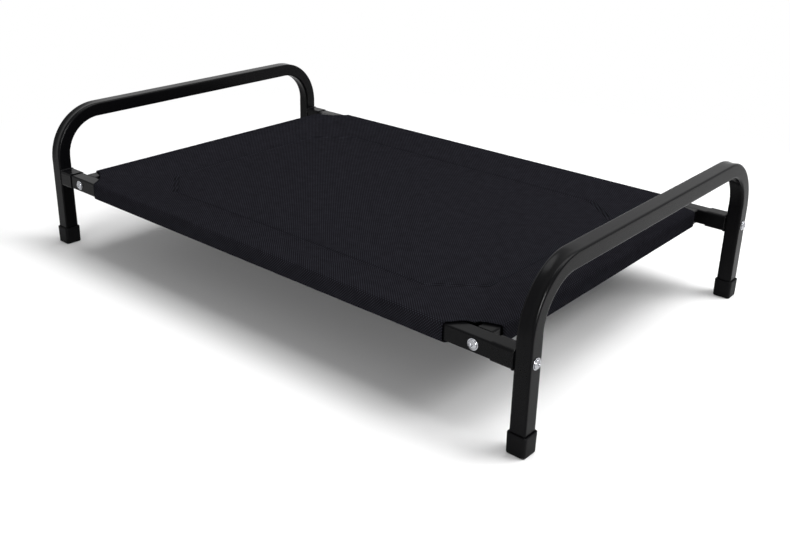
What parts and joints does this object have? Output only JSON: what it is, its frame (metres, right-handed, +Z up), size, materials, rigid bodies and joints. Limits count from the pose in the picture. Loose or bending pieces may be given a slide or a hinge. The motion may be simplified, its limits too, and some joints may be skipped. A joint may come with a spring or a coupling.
{
  "type": "raised dog bed",
  "caption": "Raised dog bed: mesh fabric stretched over square tube rails, bolted between two bent-tube end frames with capped legs.",
  "frame": {"origin": "on the floor, under the middle of the bed", "axes": "+X along the bed to the right end, +Y across it to the rear, +Z up"},
  "size_m": [0.858, 0.542, 0.208],
  "materials": {
    "powder_coated_steel": "satin black powder coat",
    "foot_rubber": "satin moulded black",
    "plug_plastic": "matt moulded grey",
    "plated_fasteners": "bright zinc plate",
    "mesh_fabric": "woven coated mesh"
  },
  "bodies": {
    "root": {"left_end_frame": "powder_coated_steel", "right_end_frame": "powder_coated_steel", "socket_front_left": "powder_coated_steel", "socket_front_right": "powder_coated_steel", "socket_rear_left": "powder_coated_steel", "socket_rear_right": "powder_coated_steel", "front_rail": "powder_coated_steel", "rear_rail": "powder_coated_steel", "left_cross_rail": "powder_coated_steel", "right_cross_rail": "powder_coated_steel", "rail_plug_front_left": "plug_plastic", "rail_plug_front_right": "plug_plastic", "rail_plug_rear_left": "plug_plastic", "rail_plug_rear_right": "plug_plastic", "cross_plug_front_left": "plug_plastic", "cross_plug_front_right": "plug_plastic", "cross_plug_rear_left": "plug_plastic", "cross_plug_rear_right": "plug_plastic", "foot_cap_front_left": "foot_rubber", "foot_cap_front_right": "foot_rubber", "foot_cap_rear_left": "foot_rubber", "foot_cap_rear_right": "foot_rubber", "leg_bolt_front_left": "plated_fasteners", "leg_bolt_front_right": "plated_fasteners", "leg_bolt_rear_left": "plated_fasteners", "leg_bolt_rear_right": "plated_fasteners", "leg_washer_front_left": "plated_fasteners", "leg_washer_front_right": "plated_fasteners", "leg_washer_rear_left": "plated_fasteners", "leg_washer_rear_right": "plated_fasteners", "rail_bolt_front_left": "plated_fasteners", "rail_bolt_front_right": "plated_fasteners", "rail_bolt_rear_left": "plated_fasteners", "rail_bolt_rear_right": "plated_fasteners", "rail_washer_front_left": "plated_fasteners", "rail_washer_front_right": "plated_fasteners", "rail_washer_rear_left": "plated_fasteners", "rail_washer_rear_right": "plated_fasteners", "bed_sheet": "mesh_fabric", "front_sleeve": "mesh_fabric", "rear_sleeve": "mesh_fabric", "left_sleeve": "mesh_fabric", "right_sleeve": "mesh_fabric"}
  },
  "joints": []
}
